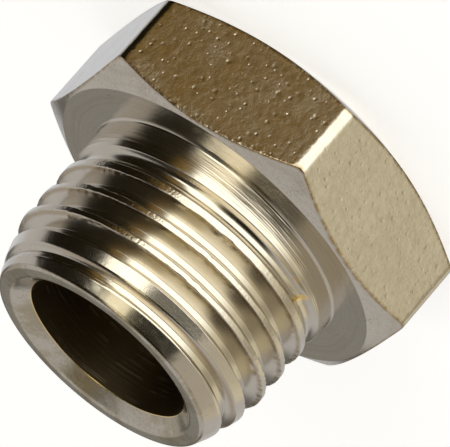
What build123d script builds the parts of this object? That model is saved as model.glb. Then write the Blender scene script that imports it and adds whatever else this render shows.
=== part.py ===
from build123d import *
import os
from math import cos, radians, sin, tan

os.makedirs("parts", exist_ok=True)

# One-piece threaded plug, turned from hexagon bar and plated. It stands on the outer face
# of its head: Z = 0 is that face, and the threaded shank points up along +Z to its open end.

# Hexagon head
across_flats = 17.0
head_height = 5.0
corner_radius = 0.6        # rounded edges between the flats, as on drawn bar
face_margin = 0.33         # the outer face ends this far inside the flats
face_chamfer_angle = 26.0  # slope of the chamfer round the outer face
seat_margin = 0.18         # the sealing face under the head ends this far inside the flats
seat_chamfer_angle = 29.0  # slope of the chamfer round the sealing face

# Threaded shank, a parallel pipe thread G 1/4
thread_major = 12.92        # over the crests, inside the tolerance below the nominal 13.157
thread_pitch = 1.337
depth_per_pitch = 0.58      # depth of the thread form below these flattened crests
floor_per_pitch = 0.135     # width of the groove's floor
flank_angle = 27.5          # of each flank against a plane across the axis
shank_length = 8.05
thread_start = 0.94         # the groove has its full depth from here up, above the sealing face
start_angle = 67.0          # where round the shank that is
run_out_angle = 62.0        # the groove fades out over this much of a turn
run_out_lift = 1.6          # how far the fading groove's own centre stands off the axis
cutter_overlap = 0.25       # the groove's section stands this far out of the crests

# Open end and blind bore
lead_in_drop = 0.165       # the end face lies this far inside the thread's root
lead_in_angle = 65.0       # slope of the lead-in against the end face
rim_width = 0.62           # flat ring round the mouth
shank_wall = 1.51          # between the thread's root and the bore
mouth_depth = 0.58         # of the countersunk mouth
floor_thickness = 1.5      # from the tip of the drilled bore to the head's outer face
drill_angle = 118.0

thread_depth = depth_per_pitch * thread_pitch
major_radius = thread_major / 2
root_radius = major_radius - thread_depth
bore_radius = root_radius - shank_wall
end_radius = root_radius - lead_in_drop
mouth_radius = end_radius - rim_width
flat_radius = across_flats / 2
corner_reach = flat_radius / cos(radians(30))
total_height = head_height + shank_length

# Head: hexagon prism with two flats square to X, trimmed by a turned body that is
# chamfered at both faces
face_radius = flat_radius - face_margin
seat_radius = flat_radius - seat_margin
face_drop = (corner_reach - face_radius) * tan(radians(face_chamfer_angle))
seat_drop = (corner_reach - seat_radius) * tan(radians(seat_chamfer_angle))
with BuildPart() as head:
    with BuildSketch():
        RegularPolygon(corner_reach, 6, rotation=30)
    extrude(amount=head_height)
    fillet(head.edges().filter_by(Axis.Z), corner_radius)
    with BuildSketch(Plane.XZ):
        with BuildLine():
            Polyline(
                (0, 0),
                (face_radius, 0),
                (corner_reach, face_drop),
                (corner_reach, head_height - seat_drop),
                (seat_radius, head_height),
                (0, head_height),
                close=True,
            )
        make_face()
    revolve(axis=Axis.Z, mode=Mode.INTERSECT)

# Shank: a round bar rooted in the head, threaded well past its end and then turned to length
spare_length = 2 * thread_pitch
bar_base = head_height / 2
bar_place = Pos(0, 0, bar_base)
bar_align = (Align.CENTER, Align.CENTER, Align.MIN)
shank_bar = bar_place * Cylinder(major_radius, total_height + spare_length - bar_base, align=bar_align)

# Thread: one groove on a right-hand helix. It rises out of the crests' surface on a wider
# helix that touches the main one, then runs at full depth past the open end.
groove_base = head_height + thread_start
fade_radius = root_radius + run_out_lift
fade_pitch = thread_pitch * fade_radius / root_radius
fade_height = fade_pitch * run_out_angle / 360
run_height = shank_length - thread_start + thread_pitch
full_path = Pos(0, 0, groove_base) * Helix(thread_pitch, run_height, root_radius)
fade_place = Pos(-run_out_lift, 0, groove_base - fade_height) * Rot(0, 0, -run_out_angle)
fade_path = fade_place * Helix(fade_pitch, fade_height, fade_radius)
groove_path = Wire([fade_path, full_path])
outward = (cos(radians(run_out_angle)), -sin(radians(run_out_angle)), 0)
section_plane = Plane(origin=groove_path @ 0, x_dir=outward, z_dir=groove_path % 0)
half_floor = floor_per_pitch * thread_pitch / 2
groove_reach = thread_depth + cutter_overlap
half_mouth = half_floor + groove_reach * tan(radians(flank_angle))
with BuildPart() as groove:
    with BuildSketch(section_plane):
        with BuildLine():
            Polyline(
                (0, -half_floor),
                (groove_reach, -half_mouth),
                (groove_reach, half_mouth),
                (0, half_floor),
                close=True,
            )
        make_face()
    sweep(path=groove_path, is_frenet=True)
threaded_bar = shank_bar - Rot(0, 0, start_angle) * groove.part

# End turning: the conical lead-in and the end face, cut across the threaded bar
turning_radius = major_radius + cutter_overlap
lead_in_rise = (turning_radius - end_radius) * tan(radians(lead_in_angle))
with BuildPart() as end_turning:
    with BuildSketch(Plane.XZ):
        with BuildLine():
            Polyline(
                (0, bar_base),
                (turning_radius, bar_base),
                (turning_radius, total_height - lead_in_rise),
                (end_radius, total_height),
                (0, total_height),
                close=True,
            )
        make_face()
    revolve(axis=Axis.Z)
threaded_shank = threaded_bar & end_turning.part

# Bore: drilled blind from the open end, with a countersunk mouth
drill_tip = bore_radius / tan(radians(drill_angle / 2))
with BuildPart() as bore:
    with BuildSketch(Plane.XZ):
        with BuildLine():
            Polyline(
                (0, floor_thickness),
                (bore_radius, floor_thickness + drill_tip),
                (bore_radius, total_height - mouth_depth),
                (mouth_radius, total_height),
                (0, total_height),
                close=True,
            )
        make_face()
    revolve(axis=Axis.Z)

hex_plug = head.part + threaded_shank - bore.part
hex_plug.label = "hex_plug"
print("hex_plug volume", round(hex_plug.volume, 2), "solids", len(hex_plug.solids()))
export_step(hex_plug, "parts/hex_plug.step")
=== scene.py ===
import math
import bmesh
import bpy
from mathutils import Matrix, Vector


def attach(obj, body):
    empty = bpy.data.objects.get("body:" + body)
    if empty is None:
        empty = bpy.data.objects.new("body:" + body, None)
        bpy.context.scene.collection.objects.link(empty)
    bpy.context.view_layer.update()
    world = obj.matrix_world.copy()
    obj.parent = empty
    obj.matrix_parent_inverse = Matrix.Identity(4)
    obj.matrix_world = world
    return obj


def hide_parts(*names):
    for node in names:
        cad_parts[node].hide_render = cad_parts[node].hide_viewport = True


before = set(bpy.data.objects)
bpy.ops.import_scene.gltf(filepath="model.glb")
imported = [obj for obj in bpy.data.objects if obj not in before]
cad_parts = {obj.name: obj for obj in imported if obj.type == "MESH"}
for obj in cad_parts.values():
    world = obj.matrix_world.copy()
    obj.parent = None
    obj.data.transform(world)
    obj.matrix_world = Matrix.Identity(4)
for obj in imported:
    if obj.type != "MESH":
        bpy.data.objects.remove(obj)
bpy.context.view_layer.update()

scene = bpy.context.scene
scene.view_settings.view_transform = "Standard"
mm = 0.001


# Node helpers, shared by the shaders and the thread's tree

def feed(tree, socket, value):
    if isinstance(value, bpy.types.NodeSocket):
        tree.links.new(value, socket)
    else:
        socket.default_value = value


def calc(tree, operation, *values):
    node = tree.nodes.new("ShaderNodeMath")
    node.operation = operation
    for socket, value in zip(node.inputs, values):
        feed(tree, socket, value)
    return node.outputs[0]


def vectorCalc(tree, operation, *values):
    node = tree.nodes.new("ShaderNodeVectorMath")
    node.operation = operation
    for socket, value in zip(node.inputs, values):
        feed(tree, socket, value)
    return node.outputs["Value" if operation == "DOT_PRODUCT" else "Vector"]


def ramp(tree, value, low, high, start=0.0, end=1.0, kind="SMOOTHSTEP"):
    node = tree.nodes.new("ShaderNodeMapRange")
    node.interpolation_type = kind
    for name, number in (("From Min", low), ("From Max", high), ("To Min", start), ("To Max", end)):
        feed(tree, node.inputs[name], number)
    feed(tree, node.inputs["Value"], value)
    return node.outputs["Result"]


def product(tree, first, *others):
    total = first
    for value in others:
        total = calc(tree, "MULTIPLY", total, value)
    return total


def mixColor(tree, factor, first, second):
    node = tree.nodes.new("ShaderNodeMix")
    node.data_type = "RGBA"
    feed(tree, node.inputs[0], factor)
    feed(tree, node.inputs[6], first)
    feed(tree, node.inputs[7], second)
    return node.outputs[2]


def noise(tree, vector, scale, detail=2.0, rough=0.5):
    node = tree.nodes.new("ShaderNodeTexNoise")
    feed(tree, node.inputs["Vector"], vector)
    feed(tree, node.inputs["Scale"], scale)
    node.inputs["Detail"].default_value = detail
    node.inputs["Roughness"].default_value = rough
    return node.outputs[0]


def splitVector(tree, vector):
    node = tree.nodes.new("ShaderNodeSeparateXYZ")
    tree.links.new(vector, node.inputs[0])
    return node.outputs


def joinVector(tree, *values):
    node = tree.nodes.new("ShaderNodeCombineXYZ")
    for socket, value in zip(node.inputs, values):
        feed(tree, socket, value)
    return node.outputs[0]


def inMillimetres(tree):
    place = tree.nodes.new("ShaderNodeTexCoord").outputs["Object"]
    return vectorCalc(tree, "MULTIPLY", place, (1 / mm, 1 / mm, 1 / mm))


def newGroup(name, inputs, outputs):
    group = bpy.data.node_groups.new(name, "ShaderNodeTree")
    for label, value in inputs:
        socket = group.interface.new_socket(label, in_out="INPUT", socket_type="NodeSocketFloat")
        socket.default_value = value
    for label, kind in outputs:
        group.interface.new_socket(label, in_out="OUTPUT", socket_type=kind)
    source = group.nodes.new("NodeGroupInput")
    sink = group.nodes.new("NodeGroupOutput")
    return group, source, sink, inMillimetres(group)


def useGroup(tree, group, **values):
    node = tree.nodes.new("ShaderNodeGroup")
    node.node_tree = group
    for label, value in values.items():
        feed(tree, node.inputs[label], value)
    return node


# Columns round the plug stand closer together at the six rounded corners. Points closer than the two
# reaches, in millimetres, become one: along the thread's seam, and where the pieces meet.
columnPlan = {
    "count": 264,
    "crowding": 0.85,
    "corner": math.radians(30.0),
    "mergeReach": 0.0008,
    "joinReach": 0.0012,
}


def columnAngle(index):
    turn = 2 * math.pi * index / columnPlan["count"]
    wave = math.sin(6 * (turn - columnPlan["corner"]))
    return turn - columnPlan["crowding"] / 6 * wave


columnAngles = [columnAngle(index) for index in range(columnPlan["count"])]

# Sizes in millimetres, angles and the head's slopes in degrees, the shank's slopes in millimetres for each
# millimetre up
headShape = {
    "flatRadius": 8.4998,  # this, the base and the shank's length end a hair inside the solid
    "base": 0.0002,
    "height": 5.0,
    "cornerRadius": 0.6,
    "faceMargin": 0.33,
    "faceSlope": 26.0,
    "seatMargin": 0.18,
    "seatSlope": 29.0,
    "edgeRadius": 0.07,
    "closeRows": 0.03,
    "rimRows": 0.12,
    "seatRow": 0.6,
}

shankShape = {
    "crestRadius": 6.46,
    "rootRadius": 5.6846,
    "pitch": 1.337,
    "flankAngle": 27.5,
    "rootFlat": 0.12,
    "rootRound": 0.03,
    "flankCurve": 0.18,
    "crestSoft": 0.03,
    "endSoft": 0.04,
    "taperStart": 5.37,
    "taperSlope": 0.30,
    "firstLift": 0.42,
    "firstRound": 0.38,
    "firstTurn": 260.0,
    "firstFade": 140.0,
    "length": 8.0499,
    "threadStart": 0.94,
    "startAngle": 67.0,
    "fadeAngle": 51.5,
    "filletRadius": 0.12,
    "endRadius": 5.5195,
    "leadSlope": 0.4663,
    "endBand": 0.26,
    "rowsPerTurn": 40,
    "tornEdge": 0.32,
    "tornStart": 1.5,
    "burrAngle": 224.0,
    "burrLow": 1.05,
    "burrHigh": 2.1,
    "burrLean": 0.75,
    "burrWidth": 0.24,
    "burrSize": 0.13,
}

# The thread's rows stand closer at the corners of its form: share of the rows, share of half a pitch
rowPlan = [(0.0, 0.0), (0.10, 0.155), (0.28, 0.235), (0.42, 0.58), (0.60, 0.70), (0.66, 0.755), (0.88, 0.865),
           (1.0, 1.0)]

mouthShape = {
    "rimWidth": 0.62,
    "mouthDepth": 0.58,
    "boreRadius": 4.1746,
    "floorHeight": 1.5,
    "drillAngle": 118.0,
    "endRound": 0.25,
    "mouthRound": 0.40,
    "boreRound": 0.05,
    "coneRow": 0.3,
}


# Surface effects of the plated part
plateFinish = {
    "paleTint": (0.69, 0.65, 0.58, 1.0),
    "warmTint": (0.65, 0.60, 0.51, 1.0),
    "dullTint": (0.52, 0.47, 0.38, 1.0),
    # darkened base for the bore: painted shade of the hole
    "boreShadeTint": (0.31, 0.24, 0.145, 1.0),
    # brown of scratches and scuffs, also used as painted shade along the edges of the flats and beside the
    # crests
    "scuffAndShadeBrown": (0.40, 0.29, 0.15, 1.0),
    "stainTint": (0.44, 0.385, 0.28, 1.0),
    "brassTint": (0.90, 0.70, 0.34, 1.0),
    "endStain": 0.9,
    "seatArcs": 0.45,
    "flatGloss": 0.20,
    "turnedGloss": 0.20,
    "threadGloss": 0.19,
    "boreGloss": 0.34,
    "flatsApart": 37.0,  # millimetres between the flats in their pattern
    "dentShare": 0.6,
    "dentSize": 0.11,
    "dentDepth": 0.008,  # millimetres, and the next two count in it
    "flatGrain": 1.45,
    "edgeBeads": 4.0,
    "ringDepth": 0.0010,  # millimetres, and the next three count in it
    "crestTear": 17.0,
    "leadInTear": 26.0,
    "neckRings": 22.0,
    "boreRings": 0.012,
}

# Heights above the head's outer face between which an effect on the shank comes or goes
shankZones = {
    "neck": (6.0, 6.3),
    "firstCrest": (6.9, 7.2),
    "burrTop": (6.9, 7.1),
    "smoothCrests": (10.4, 11.0),
    "mildCrests": (10.4, 11.2),
    "lastCrest": (11.9, 12.1),
    "openEnd": (12.0, 12.3),
    "leadIn": (12.15, 12.3),
}

# Radii, with the taper of the last crests made up, between which the torn crests and the painted shade beside
# them come or go
crestBands = {
    "torn": (6.1, 6.4),
    "shadeFoot": (6.20, 6.33),
    "shadeTop": (6.38, 6.44),
    "tornEdge": (0.45, 0.75),  # counted from the groove's root
}


def makeTurningMarks():
    # fine rings left by the lathe: they change with radius and height, hardly round the part
    group, source, sink, point = newGroup(
        "turningMarks", [("Rings", 14.0), ("Waver", 0.02)],
        [("Ridge", "NodeSocketFloat"), ("Radius", "NodeSocketFloat")])
    x, y, z = splitVector(group, point)
    radius = calc(group, "SQRT", calc(group, "ADD", product(group, x, x), product(group, y, y)))
    drift = calc(group, "SUBTRACT", noise(group, point, 0.35, 1.0), 0.5)
    drift = product(group, drift, source.outputs["Waver"])
    along = calc(group, "ADD", calc(group, "ADD", radius, z), drift)
    roundPart = calc(group, "MULTIPLY", noise(group, point, 0.5, 0.0), 0.14)
    ridge = noise(group, joinVector(group, along, roundPart), source.outputs["Rings"], 2.0, 0.7)
    group.links.new(ridge, sink.inputs["Ridge"])
    group.links.new(radius, sink.inputs["Radius"])
    return group


def makePlateSpecks():
    # tiny grains and pin holes that the plating follows on turned surfaces
    group, source, sink, point = newGroup(
        "plateSpecks", [("Spacing", 4.0), ("Share", 0.35)],
        [("Grain", "NodeSocketFloat"), ("Hole", "NodeSocketFloat")])
    grain = noise(group, point, calc(group, "MULTIPLY", source.outputs["Spacing"], 2.2), 3.0, 0.6)
    spots = noise(group, point, source.outputs["Spacing"], 1.0)
    edge = calc(group, "SUBTRACT", 1.0, calc(group, "MULTIPLY", source.outputs["Share"], 0.9))
    hole = calc(group, "MAXIMUM", calc(group, "SUBTRACT", spots, edge), 0.0)
    group.links.new(grain, sink.inputs["Grain"])
    group.links.new(calc(group, "MULTIPLY", hole, 4.0), sink.inputs["Hole"])
    return group


def makeScratches():
    # a few fine straight scratches in crossing directions
    group, source, sink, point = newGroup("fineScratches", [("Amount", 0.5)], [("Line", "NodeSocketFloat")])
    total = 0.0
    for turn, stretch in (((0.3, 0.5, 0.2), 9.0), ((1.1, 0.2, 1.9), 13.0)):
        mapping = group.nodes.new("ShaderNodeMapping")
        mapping.inputs["Rotation"].default_value = turn
        mapping.inputs["Scale"].default_value = (stretch, 0.22, stretch * 0.6)
        group.links.new(point, mapping.inputs["Vector"])
        value = noise(group, mapping.outputs[0], 1.0, 0.0)
        line = ramp(group, calc(group, "ABSOLUTE", calc(group, "SUBTRACT", value, 0.5)), 0.0, 0.012, 1.0, 0.0)
        patch = ramp(group, noise(group, point, 0.45, 1.0), 0.52, 0.62)
        line = calc(group, "MULTIPLY", line, patch)
        total = calc(group, "MAXIMUM", total, line)
    group.links.new(calc(group, "MULTIPLY", total, source.outputs["Amount"]), sink.inputs["Line"])
    return group


def makePlateTone():
    # slow change of the nickel's tint and gloss, with small dull specks
    group, source, sink, point = newGroup(
        "plateTone", [("Gloss", 0.2), ("Spread", 0.06)],
        [("Tint", "NodeSocketColor"), ("Roughness", "NodeSocketFloat")])
    slow = noise(group, point, 0.5, 3.0, 0.55)
    quickSpots = ramp(group, noise(group, point, 5.5, 2.0), 0.6, 0.74)
    tint = mixColor(group, slow, plateFinish["paleTint"], plateFinish["warmTint"])
    tint = mixColor(group, calc(group, "MULTIPLY", quickSpots, 0.25), tint, plateFinish["dullTint"])
    group.links.new(tint, sink.inputs["Tint"])
    change = calc(group, "MULTIPLY", calc(group, "SUBTRACT", slow, 0.5), source.outputs["Spread"])
    change = calc(group, "ADD", change, calc(group, "MULTIPLY", quickSpots, 0.05))
    group.links.new(calc(group, "ADD", source.outputs["Gloss"], change), sink.inputs["Roughness"])
    return group


turningMarks = makeTurningMarks()
plateSpecks = makePlateSpecks()
fineScratches = makeScratches()
plateTone = makePlateTone()


def startMaterial(name):
    material = bpy.data.materials.new(name)
    material.use_nodes = True
    tree = material.node_tree
    shader = tree.nodes["Principled BSDF"]
    shader.inputs["Metallic"].default_value = 1.0
    return material, tree, shader


def addBump(tree, shader, height, depth):
    bump = tree.nodes.new("ShaderNodeBump")
    bump.inputs["Strength"].default_value = 1.0
    bump.inputs["Distance"].default_value = depth * mm
    tree.links.new(height, bump.inputs["Height"])
    tree.links.new(bump.outputs[0], shader.inputs["Normal"])


def edgeRim(tree):
    rim = tree.nodes.new("ShaderNodeAttribute")
    rim.attribute_name = "edgeRim"
    return rim.outputs["Fac"]


def flatPlace(tree):
    # each flat of the hexagon gets its own flat coordinates: along the flat and up, in millimetres
    point = inMillimetres(tree)
    x, y, z = splitVector(tree, point)
    sector = calc(tree, "ROUND", calc(tree, "DIVIDE", calc(tree, "ARCTAN2", y, x), math.pi / 3))
    turned = tree.nodes.new("ShaderNodeVectorRotate")
    turned.rotation_type = "Z_AXIS"
    tree.links.new(point, turned.inputs["Vector"])
    tree.links.new(calc(tree, "MULTIPLY", sector, -math.pi / 3), turned.inputs["Angle"])
    side = splitVector(tree, turned.outputs[0])[1]
    return joinVector(tree, calc(tree, "MULTIPLY_ADD", sector, plateFinish["flatsApart"], side), z)


def dentPattern(tree, place, spacing, share, size):
    # round dents, one at most in each cell, of differing size and depth
    wander = tree.nodes.new("ShaderNodeTexNoise")
    wander.inputs["Scale"].default_value = 3.1
    tree.links.new(place, wander.inputs["Vector"])
    offset = vectorCalc(tree, "MULTIPLY", wander.outputs["Color"], (0.09, 0.09, 0.0))
    cells = tree.nodes.new("ShaderNodeTexVoronoi")
    cells.voronoi_dimensions = "2D"
    cells.inputs["Scale"].default_value = spacing
    tree.links.new(vectorCalc(tree, "ADD", place, offset), cells.inputs["Vector"])
    pick = tree.nodes.new("ShaderNodeSeparateColor")
    tree.links.new(cells.outputs["Color"], pick.inputs[0])
    kept = calc(tree, "LESS_THAN", pick.outputs[0], share)
    reach = calc(tree, "MULTIPLY_ADD", pick.outputs[1], size * spacing, 0.5 * size * spacing)
    hollow = ramp(tree, calc(tree, "DIVIDE", cells.outputs["Distance"], reach), 0.0, 1.0, 1.0, 0.0)
    deep = calc(tree, "MULTIPLY_ADD", pick.outputs[2], 0.7, 0.3)
    return product(tree, hollow, deep, kept)


def makeFlatsMaterial():
    material, tree, shader = startMaterial("drawnFlats")
    tone = useGroup(tree, plateTone, Gloss=plateFinish["flatGloss"], Spread=0.10)
    lines = useGroup(tree, fineScratches, Amount=0.5)
    place = flatPlace(tree)
    rim = edgeRim(tree)
    tree.links.new(tone.outputs["Roughness"], shader.inputs["Roughness"])
    # mottled plating, and painted shade in brown along the edges of the flats
    mottle = ramp(tree, noise(tree, place, 1.8, 5.0, 0.72), 0.38, 0.64, 0.0, 0.40)
    tint = mixColor(tree, mottle, tone.outputs["Tint"], plateFinish["dullTint"])
    wearAndPaintedShade = product(tree, rim, ramp(tree, noise(tree, place, 2.4, 3.0, 0.7), 0.35, 0.6, 0.25, 0.9))
    tree.links.new(mixColor(tree, wearAndPaintedShade, tint, plateFinish["scuffAndShadeBrown"]), shader.inputs["Base Color"])
    large = dentPattern(tree, place, 2.1, plateFinish["dentShare"], plateFinish["dentSize"])
    small = dentPattern(tree, place, 5.2, 0.5, plateFinish["dentSize"] * 0.5)
    height = calc(tree, "MULTIPLY_ADD", small, -0.25, calc(tree, "MULTIPLY", large, -1.0))
    grain = noise(tree, place, 3.0, 2.0, 0.5)
    height = calc(tree, "MULTIPLY_ADD", grain, plateFinish["flatGrain"], height)
    height = calc(tree, "MULTIPLY_ADD", lines.outputs["Line"], -0.12, height)
    # plating stands in small beads along the edges of the flats
    beads = product(tree, calc(tree, "SUBTRACT", noise(tree, place, 4.2, 2.0, 0.6), 0.5), rim)
    height = calc(tree, "MULTIPLY_ADD", beads, plateFinish["edgeBeads"], height)
    addBump(tree, shader, height, plateFinish["dentDepth"])
    return material


def makeTurnedMaterial():
    material, tree, shader = startMaterial("turnedFaces")
    tone = useGroup(tree, plateTone, Gloss=plateFinish["turnedGloss"], Spread=0.08)
    rings = useGroup(tree, turningMarks, Rings=14.0, Waver=0.25)
    arcs = useGroup(tree, turningMarks, Rings=4.5, Waver=0.6)
    specks = useGroup(tree, plateSpecks, Spacing=4.0, Share=0.4)
    lines = useGroup(tree, fineScratches, Amount=0.7)
    point = inMillimetres(tree)
    # spots and arcs of dull plating, and dark scratches
    stain = ramp(tree, specks.outputs["Grain"], 0.48, 0.66, 0.0, 0.45)
    tint = mixColor(tree, stain, tone.outputs["Tint"], plateFinish["dullTint"])
    arcShare = ramp(tree, arcs.outputs["Ridge"], 0.45, 0.75, 0.0, plateFinish["seatArcs"])
    tint = mixColor(tree, arcShare, tint, plateFinish["dullTint"])
    tint = mixColor(tree, lines.outputs["Line"], tint, plateFinish["scuffAndShadeBrown"])
    # brown stain and scuffs on the open end
    onEnd = ramp(tree, splitVector(tree, point)[2], *shankZones["openEnd"])
    cloud = ramp(tree, noise(tree, point, 0.55, 4.0, 0.7), 0.42, 0.62, 0.15, plateFinish["endStain"])
    tint = mixColor(tree, product(tree, cloud, onEnd), tint, plateFinish["stainTint"])
    scuff = ramp(tree, noise(tree, point, 3.4, 4.0, 0.75), 0.60, 0.70, 0.0, 0.55)
    tint = mixColor(tree, product(tree, scuff, onEnd), tint, plateFinish["scuffAndShadeBrown"])
    # the plating is worn through where the bore begins
    tint = mixColor(tree, edgeRim(tree), tint, plateFinish["brassTint"])
    tree.links.new(tint, shader.inputs["Base Color"])
    tree.links.new(tone.outputs["Roughness"], shader.inputs["Roughness"])
    height = calc(tree, "MULTIPLY_ADD", specks.outputs["Hole"], -1.5, rings.outputs["Ridge"])
    height = calc(tree, "MULTIPLY_ADD", specks.outputs["Grain"], 0.2, height)
    height = calc(tree, "MULTIPLY_ADD", lines.outputs["Line"], -3.0, height)
    addBump(tree, shader, height, plateFinish["ringDepth"])
    return material


def makeThreadMaterial():
    material, tree, shader = startMaterial("cutThread")
    tone = useGroup(tree, plateTone, Gloss=plateFinish["threadGloss"], Spread=0.05)
    rings = useGroup(tree, turningMarks, Rings=16.0, Waver=0.02)
    broadRings = useGroup(tree, turningMarks, Rings=6.5, Waver=0.02)
    specks = useGroup(tree, plateSpecks, Spacing=3.0, Share=0.4)
    tree.links.new(tone.outputs["Roughness"], shader.inputs["Roughness"])
    point = inMillimetres(tree)
    x, y, z = splitVector(tree, point)

    def zone(name, start=0.0, end=1.0):
        return ramp(tree, z, *shankZones[name], start, end)

    # fine rings, fainter on the last crests and the lead-in, and clear rings on the plain neck
    ridge = product(tree, rings.outputs["Ridge"], zone("smoothCrests", 1.0, 0.15))
    height = calc(tree, "MULTIPLY_ADD", specks.outputs["Hole"], -1.5, ridge)
    height = calc(tree, "MULTIPLY_ADD", specks.outputs["Grain"], 0.2, height)
    onNeck = product(tree, broadRings.outputs["Ridge"], zone("neck", 1.0, 0.0))
    height = calc(tree, "MULTIPLY_ADD", onNeck, plateFinish["neckRings"], height)
    # slightly torn crests and lead-in
    tapered = calc(tree, "SUBTRACT", z, headShape["height"] + shankShape["taperStart"])
    tapered = calc(tree, "MAXIMUM", tapered, 0.0)
    reach = calc(tree, "MULTIPLY_ADD", tapered, shankShape["taperSlope"], rings.outputs["Radius"])
    onThread = product(tree, zone("firstCrest"), zone("lastCrest", 1.0, 0.0))
    torn = product(tree, ramp(tree, reach, *crestBands["torn"]), onThread, zone("mildCrests", 1.0, 0.25))
    torn = product(tree, noise(tree, point, 6.0, 2.0, 0.6), torn)
    height = calc(tree, "MULTIPLY_ADD", torn, plateFinish["crestTear"], height)
    tornLead = product(tree, zone("leadIn"), noise(tree, point, 1.3, 1.0, 0.4))
    height = calc(tree, "MULTIPLY_ADD", tornLead, plateFinish["leadInTear"], height)
    # painted shade in brown beside the crests, and the plating worn through to the brass on the burr
    paintedCrestShade = product(tree, ramp(tree, reach, *crestBands["shadeFoot"]),
                     ramp(tree, reach, *crestBands["shadeTop"], 0.55, 0.0), onThread)
    tint = mixColor(tree, paintedCrestShade, tone.outputs["Tint"], plateFinish["scuffAndShadeBrown"])
    aside = calc(tree, "SUBTRACT", calc(tree, "ARCTAN2", y, x), math.radians(shankShape["burrAngle"] - 360.0))
    rise = calc(tree, "SUBTRACT", z, headShape["height"] + shankShape["burrLow"])
    lean = calc(tree, "MULTIPLY", rise, shankShape["burrLean"])
    aside = calc(tree, "SUBTRACT", calc(tree, "MULTIPLY", aside, shankShape["crestRadius"]), lean)
    width = shankShape["burrWidth"]
    bare = ramp(tree, calc(tree, "ABSOLUTE", aside), 0.5 * width, width, 1.0, 0.0)
    bare = product(tree, bare, ramp(tree, rise, 0.0, 0.2), zone("burrTop", 1.0, 0.0))
    tree.links.new(mixColor(tree, bare, tint, plateFinish["brassTint"]), shader.inputs["Base Color"])
    addBump(tree, shader, height, plateFinish["ringDepth"])
    return material


def makeBoreMaterial():
    material, tree, shader = startMaterial("drilledBore")
    tone = useGroup(tree, plateTone, Gloss=plateFinish["boreGloss"], Spread=0.08)
    rings = useGroup(tree, turningMarks, Rings=11.0, Waver=0.15)
    # the wall's base is darkened as painted shade of the hole, with short bright scratches round it in the
    # plate's own tint
    patch = ramp(tree, noise(tree, inMillimetres(tree), 0.9, 2.0), 0.42, 0.60, 0.0, 0.8)
    lines = product(tree, ramp(tree, rings.outputs["Ridge"], 0.55, 0.62), patch)
    tint = mixColor(tree, lines, plateFinish["boreShadeTint"], tone.outputs["Tint"])
    tree.links.new(tint, shader.inputs["Base Color"])
    tree.links.new(tone.outputs["Roughness"], shader.inputs["Roughness"])
    addBump(tree, shader, rings.outputs["Ridge"], plateFinish["boreRings"])
    return material


flatsMaterial = makeFlatsMaterial()
turnedMaterial = makeTurnedMaterial()
threadMaterial = makeThreadMaterial()
boreMaterial = makeBoreMaterial()
print("materials made")


# Threaded shank: a flat grid rolled up so that its rows follow the helix

def socketLabel(key):
    return "".join(" " + letter if letter.isupper() else letter for letter in key).title()


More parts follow.
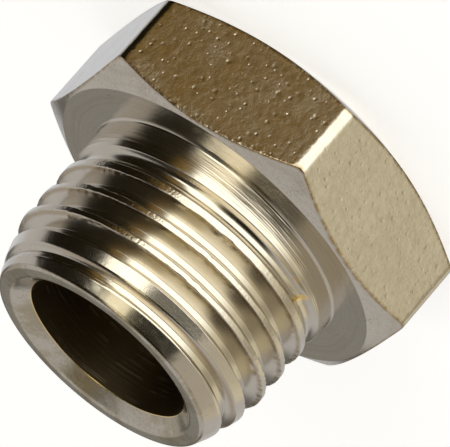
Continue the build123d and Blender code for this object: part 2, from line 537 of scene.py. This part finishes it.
def makeThreadTree():
    tree = bpy.data.node_groups.new("threadedShank", "GeometryNodeTree")
    tree.interface.new_socket("Geometry", in_out="INPUT", socket_type="NodeSocketGeometry")
    for name in [socketLabel(key) for key in shankShape] + ["Base Height"]:
        tree.interface.new_socket(name, in_out="INPUT", socket_type="NodeSocketFloat")
    tree.interface.new_socket("Columns", in_out="INPUT", socket_type="NodeSocketInt")
    tree.interface.new_socket("Material", in_out="INPUT", socket_type="NodeSocketMaterial")
    tree.interface.new_socket("Geometry", in_out="OUTPUT", socket_type="NodeSocketGeometry")
    source = tree.nodes.new("NodeGroupInput").outputs
    sink = tree.nodes.new("NodeGroupOutput")

    def get(operation, *values):
        return calc(tree, operation, *values)

    fullTurn = 2 * math.pi
    spareTurns = 2.0
    pitch = source["Pitch"]
    length = source["Length"]
    crestRadius = source["Crest Radius"]
    turns = get("CEIL", get("ADD", get("DIVIDE", length, pitch), spareTurns))
    rows = get("MULTIPLY", turns, source["Rows Per Turn"])
    grid = tree.nodes.new("GeometryNodeMeshGrid")
    grid.inputs["Size X"].default_value = 1.0
    grid.inputs["Size Y"].default_value = 1.0
    tree.links.new(get("ADD", source["Columns"], 1), grid.inputs["Vertices X"])
    tree.links.new(get("ADD", rows, 1), grid.inputs["Vertices Y"])

    # where a grid point goes: angle round the axis, height above the sealing face
    place = splitVector(tree, tree.nodes.new("GeometryNodeInputPosition").outputs[0])
    turn = get("MULTIPLY", get("ADD", place[0], 0.5), fullTurn)
    wave = get("SINE", get("MULTIPLY", get("SUBTRACT", turn, columnPlan["corner"]), 6.0))
    angle = get("MULTIPLY_ADD", wave, -columnPlan["crowding"] / 6, turn)
    rowTurn = get("DIVIDE", get("MULTIPLY", get("ADD", place[1], 0.5), rows), source["Rows Per Turn"])
    wholeTurns = get("FLOOR", get("ADD", rowTurn, 0.5))
    part = get("SUBTRACT", rowTurn, wholeTurns)
    half = get("MULTIPLY", get("ABSOLUTE", part), 2.0)
    bent = 0.0
    for (first, low), (last, high) in zip(rowPlan, rowPlan[1:]):
        bent = get("ADD", bent, ramp(tree, half, first, last, 0.0, high - low, "LINEAR"))
    bent = get("MULTIPLY", get("MULTIPLY", bent, 0.5), get("SIGN", part))
    startTurn = get("DIVIDE", source["Start Angle"], 360.0)
    firstGroove = get("SUBTRACT", get("DIVIDE", source["Thread Start"], pitch), startTurn)
    rise = get("ADD", get("SUBTRACT", get("ADD", wholeTurns, bent), spareTurns), firstGroove)
    rise = get("MULTIPLY", rise, pitch)
    height = get("ADD", rise, get("MULTIPLY", get("DIVIDE", angle, fullTurn), pitch))
    top = get("SUBTRACT", length, source["End Band"])
    height = get("MAXIMUM", get("MINIMUM", height, top), 0.0)

    # distance from the middle of the nearest groove, and how far along that groove
    fromStart = get("SUBTRACT", angle, get("RADIANS", source["Start Angle"]))
    aboveStart = get("SUBTRACT", height, source["Thread Start"])
    grooves = get("SUBTRACT", get("DIVIDE", aboveStart, pitch), get("DIVIDE", fromStart, fullTurn))
    nearest = get("FLOOR", get("ADD", grooves, 0.5))
    across = get("MULTIPLY", get("ABSOLUTE", get("SUBTRACT", grooves, nearest)), pitch)
    along = get("ADD", get("MULTIPLY", nearest, fullTurn), fromStart)

    # groove section: a narrow flat root and slightly curved flanks. The first turn is shallower and
    # rounder, and the cutter lifts right out towards the head.
    flank = get("RADIANS", source["Flank Angle"])
    firstTurn = source["First Turn"]
    firstEnd = get("ADD", firstTurn, source["First Fade"])
    early = ramp(tree, along, get("RADIANS", firstTurn), get("RADIANS", firstEnd), 1.0, 0.0)
    extraRound = get("SUBTRACT", source["First Round"], source["Root Round"])
    rootRound = get("MULTIPLY_ADD", extraRound, early, source["Root Round"])
    rootFlat = get("MULTIPLY", source["Root Flat"], get("SUBTRACT", 1.0, get("MULTIPLY", early, 0.9)))
    across = get("MAXIMUM", get("SUBTRACT", across, rootFlat), 0.0)
    roundEnd = get("MULTIPLY", rootRound, get("COSINE", flank))
    inside = get("SUBTRACT", get("MULTIPLY", rootRound, rootRound), get("MULTIPLY", across, across))
    arc = get("SUBTRACT", rootRound, get("SQRT", get("MAXIMUM", inside, 0.0)))
    lineStart = get("SUBTRACT", 1.0, get("DIVIDE", 1.0, get("SINE", flank)))
    line = get("ADD", get("DIVIDE", across, get("TANGENT", flank)), get("MULTIPLY", rootRound, lineStart))
    onLine = get("GREATER_THAN", across, roundEnd)
    onArc = get("SUBTRACT", 1.0, onLine)
    section = get("ADD", get("MULTIPLY", line, onLine), get("MULTIPLY", arc, onArc))
    depth = get("SUBTRACT", crestRadius, source["Root Radius"])
    steeper = get("MULTIPLY", source["Flank Curve"], get("SUBTRACT", get("DIVIDE", section, depth), 1.0))
    section = get("MULTIPLY", section, get("ADD", steeper, 1.0))
    fade = get("DIVIDE", get("MINIMUM", along, 0.0), get("RADIANS", source["Fade Angle"]))
    firstLift = get("MULTIPLY", early, source["First Lift"])
    lift = get("MULTIPLY_ADD", depth, get("MULTIPLY", fade, fade), firstLift)
    cut = get("ADD", get("ADD", source["Root Radius"], section), lift)

    # the crest edges are torn
    cosine = get("COSINE", angle)
    sine = get("SINE", angle)
    spot = joinVector(tree, get("MULTIPLY", cosine, crestRadius), get("MULTIPLY", sine, crestRadius), height)
    tear = get("MULTIPLY", get("SUBTRACT", noise(tree, spot, 3.2, 1.0), 0.5), source["Torn Edge"])
    nearCrest = ramp(tree, section, *crestBands["tornEdge"])
    pastNeck = get("GREATER_THAN", height, source["Torn Start"])
    cut = get("ADD", cut, product(tree, tear, nearCrest, pastNeck))

    # the last crests taper off and are a little rounder
    pastTaper = get("MAXIMUM", get("SUBTRACT", height, source["Taper Start"]), 0.0)
    crest = get("SUBTRACT", crestRadius, get("MULTIPLY", pastTaper, source["Taper Slope"]))
    extraSoft = get("SUBTRACT", source["End Soft"], source["Crest Soft"])
    softer = get("MULTIPLY", get("MINIMUM", pastTaper, 1.0), extraSoft)
    radius = get("SMOOTH_MIN", cut, crest, get("ADD", source["Crest Soft"], softer))

    # lead-in cone, which alone makes the last row
    cone = get("MULTIPLY", get("SUBTRACT", length, height), source["Lead Slope"])
    cone = get("ADD", source["End Radius"], cone)
    radius = get("SMOOTH_MIN", radius, cone, source["End Soft"])
    atEnd = get("GREATER_THAN", height, get("SUBTRACT", top, 0.0001))
    notEnd = get("SUBTRACT", 1.0, atEnd)
    radius = get("ADD", get("MULTIPLY", cone, atEnd), get("MULTIPLY", radius, notEnd))

    # a burr lies askew across the first groove
    pastLow = get("SUBTRACT", height, source["Burr Low"])
    aside = get("MULTIPLY", get("SUBTRACT", angle, get("RADIANS", source["Burr Angle"])), crestRadius)
    aside = get("SUBTRACT", aside, get("MULTIPLY", pastLow, source["Burr Lean"]))
    peak = get("SUBTRACT", 1.0, get("DIVIDE", get("ABSOLUTE", aside), source["Burr Width"]))
    belowHigh = get("MAXIMUM", get("SUBTRACT", source["Burr High"], height), 0.0)
    ends = product(tree, get("MAXIMUM", pastLow, 0.0), belowHigh, 3.6)  # about 1 halfway up
    rough = get("ADD", noise(tree, spot, 5.0, 1.0), 0.5)
    burr = product(tree, get("MAXIMUM", peak, 0.0), ends, rough, source["Burr Size"])
    radius = get("MINIMUM", get("ADD", radius, burr), get("MAXIMUM", radius, crestRadius))

    # small fillet against the sealing face
    fillet = source["Fillet Radius"]
    under = get("MAXIMUM", get("SUBTRACT", fillet, height), 0.0)
    bow = get("SUBTRACT", get("MULTIPLY", fillet, fillet), get("MULTIPLY", under, under))
    wall = get("SUBTRACT", get("ADD", crestRadius, fillet), get("SQRT", get("MAXIMUM", bow, 0.0)))
    radius = get("MAXIMUM", radius, get("MULTIPLY", wall, get("LESS_THAN", height, fillet)))

    where = joinVector(tree, product(tree, radius, cosine, mm), product(tree, radius, sine, mm),
                       get("MULTIPLY", get("ADD", height, source["Base Height"]), mm))
    setPosition = tree.nodes.new("GeometryNodeSetPosition")
    tree.links.new(grid.outputs["Mesh"], setPosition.inputs["Geometry"])
    tree.links.new(where, setPosition.inputs["Position"])
    merge = tree.nodes.new("GeometryNodeMergeByDistance")
    merge.inputs["Distance"].default_value = columnPlan["mergeReach"] * mm
    tree.links.new(setPosition.outputs[0], merge.inputs["Geometry"])
    realize = tree.nodes.new("GeometryNodeRealizeInstances")
    tree.links.new(merge.outputs[0], realize.inputs[0])
    setMaterial = tree.nodes.new("GeometryNodeSetMaterial")
    tree.links.new(realize.outputs[0], setMaterial.inputs["Geometry"])
    tree.links.new(source["Material"], setMaterial.inputs["Material"])
    tree.links.new(setMaterial.outputs[0], sink.inputs[0])
    return tree


def bakeThread():
    tree = makeThreadTree()
    holder = bpy.data.objects.new("shankHolder", bpy.data.meshes.new("shankHolder"))
    scene.collection.objects.link(holder)
    modifier = holder.modifiers.new("threadedShank", "NODES")
    modifier.node_group = tree
    identifiers = {item.name: item.identifier for item in tree.interface.items_tree
                   if item.item_type == "SOCKET" and item.in_out == "INPUT"}
    for key, value in shankShape.items():
        modifier[identifiers[socketLabel(key)]] = float(value)
    modifier[identifiers["Base Height"]] = headShape["height"]
    modifier[identifiers["Columns"]] = columnPlan["count"]
    modifier[identifiers["Material"]] = threadMaterial
    graph = bpy.context.evaluated_depsgraph_get()
    mesh = bpy.data.meshes.new_from_object(holder.evaluated_get(graph))
    holder.modifiers.remove(modifier)
    bpy.data.objects.remove(holder)
    return mesh


# Head and mouth: profiles in (radius, height), turned through the columns

def roundedCorner(before, corner, after, radius, steps, support):
    # an arc with one row more on each side, a support's length away
    back = (Vector(before) - Vector(corner)).normalized()
    ahead = (Vector(after) - Vector(corner)).normalized()
    half = back.angle(ahead) / 2
    reach = radius / math.tan(half)
    centre = Vector(corner) + (back + ahead).normalized() * (radius / math.sin(half))
    first = Vector(corner) + back * reach
    last = Vector(corner) + ahead * reach
    points = [first + back * support]
    for index in range(steps + 1):
        mixed = (first - centre).slerp(last - centre, index / steps)
        points.append(centre + mixed.normalized() * radius)
    points.append(last + ahead * support)
    return points


def hexRadius(angle):
    fromFlat = (angle + math.pi / 6) % (math.pi / 3) - math.pi / 6
    fromCorner = math.pi / 6 - abs(fromFlat)
    rounding = headShape["cornerRadius"]
    centre = (headShape["flatRadius"] - rounding) / math.cos(math.pi / 6)
    tangent = math.atan2(rounding * 0.5, centre + rounding * math.cos(math.pi / 6))
    if fromCorner > tangent:
        return headShape["flatRadius"] / math.cos(fromFlat)
    return centre * math.cos(fromCorner) + math.sqrt(rounding ** 2 - (centre * math.sin(fromCorner)) ** 2)


def headProfile(angle):
    # radius and height of each row, its zone, and whether it lies on an edge of the flats
    outer = hexRadius(angle)
    faceRadius = headShape["flatRadius"] - headShape["faceMargin"]
    seatRadius = headShape["flatRadius"] - headShape["seatMargin"]
    neckRadius = shankShape["crestRadius"] + shankShape["filletRadius"]
    base, top = headShape["base"], headShape["height"]
    faceRise = base + (outer - faceRadius) * math.tan(math.radians(headShape["faceSlope"]))
    seatDrop = (outer - seatRadius) * math.tan(math.radians(headShape["seatSlope"]))
    corners = [(0.0, base), (faceRadius, base), (outer, faceRise), (outer, top - seatDrop),
               (seatRadius, top), (neckRadius, top)]
    points = [Vector((faceRadius * 0.4, base)), Vector((faceRadius * 0.8, base))]
    kinds = ["turned", "turned"]
    rims = [0.0, 0.0]
    # of each edge: its zone, the zone of the band after it, whether it bounds the flats, and its support
    edges = [("turned", "turned", 0.0, "closeRows"), ("flats", "flats", 1.0, "rimRows"),
             ("flats", "turned", 1.0, "rimRows"), ("turned", "turned", 0.0, "closeRows")]
    for index, (zone, nextZone, rim, name) in enumerate(edges, 1):
        arc = roundedCorner(*corners[index - 1:index + 2], headShape["edgeRadius"], 4, headShape[name])
        points += arc
        kinds += [zone] * (len(arc) - 1) + [nextZone]
        rims += [0.0] + [rim] * (len(arc) - 2) + [0.0]
    points += [Vector((neckRadius + gap, top)) for gap in (headShape["seatRow"], headShape["closeRows"], 0.0)]
    kinds += ["turned"] * 3
    rims += [0.0] * 3
    return points, kinds, rims


def mouthProfile():
    top = headShape["height"] + shankShape["length"]
    band = shankShape["endBand"]
    end = shankShape["endRadius"]
    rim = end - mouthShape["rimWidth"]
    bore = mouthShape["boreRadius"]
    floor = mouthShape["floorHeight"]
    bottom = floor + bore / math.tan(math.radians(mouthShape["drillAngle"] / 2))
    corners = [(end + band * shankShape["leadSlope"], top - band), (end, top), (rim, top),
               (bore, top - mouthShape["mouthDepth"]), (bore, bottom), (0.0, floor)]
    points = [Vector(corners[0])]
    kinds = ["thread"]
    rims = [0.0]
    edges = [("turned", "turned", 0.0, "endRound"), ("turned", "turned", 0.0, "mouthRound"),
             ("turned", "bore", 1.0, "boreRound"), ("bore", "bore", 0.0, "boreRound")]
    for index, (zone, nextZone, wearAndPaintedShade, name) in enumerate(edges, 1):
        arc = roundedCorner(*corners[index - 1:index + 2], mouthShape[name], 6, headShape["closeRows"])
        half = len(arc) // 2
        points += arc
        kinds += [zone] * half + [nextZone] * (len(arc) - half)
        rims += [0.0] + [wearAndPaintedShade] * (len(arc) - 2) + [0.0]
    share = mouthShape["coneRow"]
    points += [Vector((bore * share, floor + share * (bottom - floor)))]
    kinds += ["bore"]
    rims += [0.0]
    return points, kinds, rims


zoneIndex = {"flats": 0, "turned": 1, "thread": 2, "bore": 3}


def addRing(form, profiles, angles, rims):
    rimLayer = form.verts.layers.float["edgeRim"]
    rows = []
    for row, rim in enumerate(rims):
        ring = []
        for points, angle in zip(profiles, angles):
            radius, height = points[row]
            across = radius * math.cos(angle) * mm
            along = radius * math.sin(angle) * mm
            vertex = form.verts.new((across, along, height * mm))
            vertex[rimLayer] = rim
            ring.append(vertex)
        rows.append(ring)
    return rows


def addBands(form, rows, kinds):
    count = len(rows[0])
    for lower, upper, kind in zip(rows, rows[1:], kinds):
        for index in range(count):
            after = (index + 1) % count
            face = form.faces.new((lower[index], lower[after], upper[after], upper[index]))
            face.material_index = zoneIndex[kind]


def addCap(form, ring, height, kind, outwards):
    tip = form.verts.new((0.0, 0.0, height * mm))
    for index in range(len(ring)):
        after = (index + 1) % len(ring)
        corner = (tip, ring[after], ring[index]) if outwards else (ring[index], ring[after], tip)
        face = form.faces.new(corner)
        face.material_index = zoneIndex[kind]


def makePlug():
    form = bmesh.new()
    form.from_mesh(bakeThread())
    for face in form.faces:
        face.material_index = zoneIndex["thread"]
    print("thread rolled,", len(form.faces), "faces")

    form.verts.layers.float.new("edgeRim")
    profiles = [headProfile(angle) for angle in columnAngles]
    headRows = addRing(form, [profile[0] for profile in profiles], columnAngles, profiles[0][2])
    addBands(form, headRows, profiles[0][1])
    addCap(form, headRows[0], headShape["base"], "turned", True)
    points, kinds, rims = mouthProfile()
    mouthRows = addRing(form, [points] * len(columnAngles), columnAngles, rims)
    addBands(form, mouthRows, kinds)
    addCap(form, mouthRows[-1], mouthShape["floorHeight"], "bore", False)
    bmesh.ops.remove_doubles(form, verts=form.verts, dist=columnPlan["joinReach"] * mm)
    for face in form.faces:
        face.smooth = True
    openEdges = sum(1 for edge in form.edges if len(edge.link_faces) != 2)
    volume = form.calc_volume(signed=True) / mm ** 3
    print("plug joined, open edges", openEdges, "volume", round(volume, 1), "mm3")

    mesh = bpy.data.meshes.new("hexPlug")
    form.to_mesh(mesh)
    form.free()
    for material in (flatsMaterial, turnedMaterial, threadMaterial, boreMaterial):
        mesh.materials.append(material)
    plug = bpy.data.objects.new("hexPlug", mesh)
    scene.collection.objects.link(plug)
    return plug


hexPlug = makePlug()
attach(hexPlug, "root")
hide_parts("hex_plug")
print("plug placed")


# Floor: pale paper that keeps a soft shadow
floorPlan = {"size": 3.0, "paper": (0.86, 0.86, 0.86, 1.0), "roughness": 0.9, "glow": 0.66}


def makeFloor():
    half = floorPlan["size"] / 2
    corners = [(-half, -half, 0), (half, -half, 0), (half, half, 0), (-half, half, 0)]
    mesh = bpy.data.meshes.new("paperFloor")
    mesh.from_pydata(corners, [], [(0, 1, 2, 3)])
    floor = bpy.data.objects.new("paperFloor", mesh)
    scene.collection.objects.link(floor)
    material = bpy.data.materials.new("palePaper")
    material.use_nodes = True
    tree = material.node_tree
    shader = tree.nodes["Principled BSDF"]
    shader.inputs["Base Color"].default_value = floorPlan["paper"]
    shader.inputs["Roughness"].default_value = floorPlan["roughness"]
    shader.inputs["Specular IOR Level"].default_value = 0.0
    glow = tree.nodes.new("ShaderNodeEmission")
    path = tree.nodes.new("ShaderNodeLightPath")
    strength = calc(tree, "MULTIPLY", path.outputs["Is Camera Ray"], floorPlan["glow"])
    tree.links.new(strength, glow.inputs["Strength"])
    both = tree.nodes.new("ShaderNodeAddShader")
    tree.links.new(shader.outputs[0], both.inputs[0])
    tree.links.new(glow.outputs[0], both.inputs[1])
    tree.links.new(both.outputs[0], tree.nodes["Material Output"].inputs["Surface"])
    mesh.materials.append(material)
    floor.visible_glossy = False  # the metal mirrors the studio paper in the world instead


makeFloor()


# Studio: pale paper on one side, a dark room on the other, with a strip light and soft panels. A span is
# its left and right azimuth, counted from the facing one, its low and high elevation, and half the fade at
# the sides and at the ends, all in degrees. Two elevations alone are where a surface changes its tone.
studioPlan = {
    "facing": -82.9,
    "roomMiddle": (-65.0, -11.0),  # the frame's own azimuth, and elevation
    "roomEdge": (-0.10, 0.0),  # cosines of the angle from that middle
    "paper": (0.56, 0.545, 0.535, 1.0),
    "brightPaper": (0.72, 0.74, 0.79, 1.0),
    "brightSpan": (140.0, 174.0, -50.0, -4.0, 12.0, 12.0),
    "shadedPaper": (0.29, 0.28, 0.26, 1.0),
    "shadedSpan": (164.0, 196.0, 6.0, 40.0, 5.0, 5.0),
    "lowShade": (0.12, 0.115, 0.10, 1.0),
    "lowShadeSpan": (148.0, 212.0, -4.0, 12.0, 5.0, 5.0),
    "overhead": (0.22, 0.185, 0.12, 1.0),
    "overheadPlace": (0.0, 81.0),  # azimuth from the facing one, and elevation
    "overheadReach": (6.0, 15.0),  # degrees off its middle, full and faded out
    "room": (0.011, 0.008, 0.0035, 1.0),
    "warmRoom": (0.22, 0.132, 0.028, 1.0),
    "warmSpan": (40.0, 54.0, -40.0, -4.0, 6.0, 6.0),
    "sideWall": (0.81, 0.74, 0.55, 1.0),
    "lowSide": (0.09, 0.077, 0.055, 1.0),
    "highSide": (0.50, 0.455, 0.38, 1.0),
    "sideSpan": (-128.0, -52.0, -60.0, 40.0, 4.0, 4.0),
    "sideClimb": (-40.0, -22.0),
    "sideTop": (-8.0, 12.0),
    "sideShade": (0.45, 0.40, 0.30, 1.0),
    "shadeSpan": (-104.0, -80.0, -40.0, -2.0, 4.0, 4.0),
    "sideGap": (0.05, 0.04, 0.025, 1.0),
    "gapSpan": (-70.0, -53.0, -70.0, -33.0, 4.0, 4.0),
    "panel": (2.0, 1.94, 1.72, 1.0),
    "lowPanel": (0.78, 0.67, 0.33, 1.0),
    "panelSpan": (-54.0, 20.0, -66.0, 6.0, 14.0, 4.0),
    "panelClimb": (-62.0, -28.0),
    "dimPanel": (0.52, 0.485, 0.40, 1.0),
    "dimSpan": (-58.0, 8.0, 16.0, 22.0, 2.0, 2.0),
    "strip": (2.2, 2.12, 1.82, 1.0),
    "lowStrip": (0.60, 0.515, 0.29, 1.0),
    "highStrip": (1.25, 1.14, 0.80, 1.0),
    "stripSpan": (7.0, 36.5, -62.0, 24.0, 2.5, 2.5),
    "stripTop": (7.0, 47.0, 6.0, 24.0, 3.0, 3.0),
    "stripTip": (7.0, 31.0, 20.0, 76.0, 3.0, 3.0),
    "stripClimb": (-46.0, -24.0),
    "stripHigh": (20.0, 28.0),
}


def makeStudio():
    world = bpy.data.worlds.new("studio")
    scene.world = world
    world.use_nodes = True
    tree = world.node_tree
    background = tree.nodes["Background"]
    direction = tree.nodes.new("ShaderNodeTexCoord").outputs["Generated"]
    turned = tree.nodes.new("ShaderNodeVectorRotate")
    turned.rotation_type = "Z_AXIS"
    turned.inputs["Angle"].default_value = math.radians(-studioPlan["facing"])
    tree.links.new(direction, turned.inputs["Vector"])
    x, y, z = splitVector(tree, turned.outputs[0])
    azimuth = calc(tree, "DEGREES", calc(tree, "ARCTAN2", y, x))
    behind = calc(tree, "LESS_THAN", azimuth, 0.0)
    roundAzimuth = calc(tree, "ADD", azimuth, calc(tree, "MULTIPLY", behind, 360.0))
    elevation = calc(tree, "DEGREES", calc(tree, "ARCSINE", z))

    def window(name, around=azimuth):
        left, right, low, high, soft, endSoft = studioPlan[name]
        return product(tree, ramp(tree, around, left - soft, left + soft),
                       ramp(tree, around, right - soft, right + soft, 1.0, 0.0),
                       ramp(tree, elevation, low - endSoft, low + endSoft),
                       ramp(tree, elevation, high - endSoft, high + endSoft, 1.0, 0.0))

    def lay(tone, share, name):
        return mixColor(tree, share, tone, studioPlan[name])

    def climb(name):
        return ramp(tree, elevation, *studioPlan[name])

    def towards(place):
        side, lift = (math.radians(value) for value in place)
        return math.cos(lift) * math.cos(side), math.cos(lift) * math.sin(side), math.sin(lift)

    # the paper's half of the studio, then the dark half
    paper = lay(studioPlan["paper"], window("brightSpan", roundAzimuth), "brightPaper")
    paper = lay(paper, window("shadedSpan", roundAzimuth), "shadedPaper")
    paper = lay(paper, window("lowShadeSpan", roundAzimuth), "lowShade")
    room = lay(studioPlan["room"], window("warmSpan"), "warmRoom")
    inRoom = vectorCalc(tree, "DOT_PRODUCT", direction, towards(studioPlan["roomMiddle"]))
    tone = mixColor(tree, ramp(tree, inRoom, *studioPlan["roomEdge"]), paper, room)
    full, faded = (math.cos(math.radians(value)) for value in studioPlan["overheadReach"])
    nearTop = vectorCalc(tree, "DOT_PRODUCT", turned.outputs[0], towards(studioPlan["overheadPlace"]))
    tone = lay(tone, ramp(tree, nearTop, faded, full), "overhead")

    # side wall, soft panel and strip light, each fading with height
    side = lay(studioPlan["lowSide"], climb("sideClimb"), "sideWall")
    side = lay(side, climb("sideTop"), "highSide")
    tone = mixColor(tree, window("sideSpan"), tone, side)
    panel = lay(studioPlan["lowPanel"], climb("panelClimb"), "panel")
    tone = mixColor(tree, window("panelSpan"), tone, panel)
    tone = lay(tone, window("shadeSpan"), "sideShade")
    tone = lay(tone, window("gapSpan"), "sideGap")
    tone = lay(tone, window("dimSpan"), "dimPanel")
    strip = lay(studioPlan["lowStrip"], climb("stripClimb"), "strip")
    strip = lay(strip, climb("stripHigh"), "highStrip")
    stripShare = calc(tree, "MAXIMUM", window("stripSpan"), window("stripTop"))
    stripShare = calc(tree, "MAXIMUM", stripShare, window("stripTip"))
    tone = mixColor(tree, stripShare, tone, strip)

    # plain white behind the plug, for the camera alone
    path = tree.nodes.new("ShaderNodeLightPath")
    tone = mixColor(tree, path.outputs["Is Camera Ray"], tone, (1.0, 1.0, 1.0, 1.0))
    tree.links.new(tone, background.inputs["Color"])


makeStudio()
print("floor and studio made")


# Camera at the photograph's angle, rolled so that the shank points down and to the left. Its place and
# lens are in millimetres, its turn in degrees, and its near and far limits in metres.
cameraPlan = {
    "place": (33.16914, -265.78591, 108.64543),
    "turn": (-62.76729, 37.67202, -155.36331),
    "lens": 529.58,
    "sensor": 36.0,
    "near": 0.01,
    "far": 10.0,
}
camera = bpy.data.objects.new("camera", bpy.data.cameras.new("camera"))
camera.data.sensor_width = cameraPlan["sensor"]
camera.data.lens = cameraPlan["lens"]
camera.data.clip_start = cameraPlan["near"]
camera.data.clip_end = cameraPlan["far"]
camera.location = Vector(cameraPlan["place"]) * mm
camera.rotation_euler = [math.radians(value) for value in cameraPlan["turn"]]
scene.collection.objects.link(camera)
scene.camera = camera
print("camera placed")
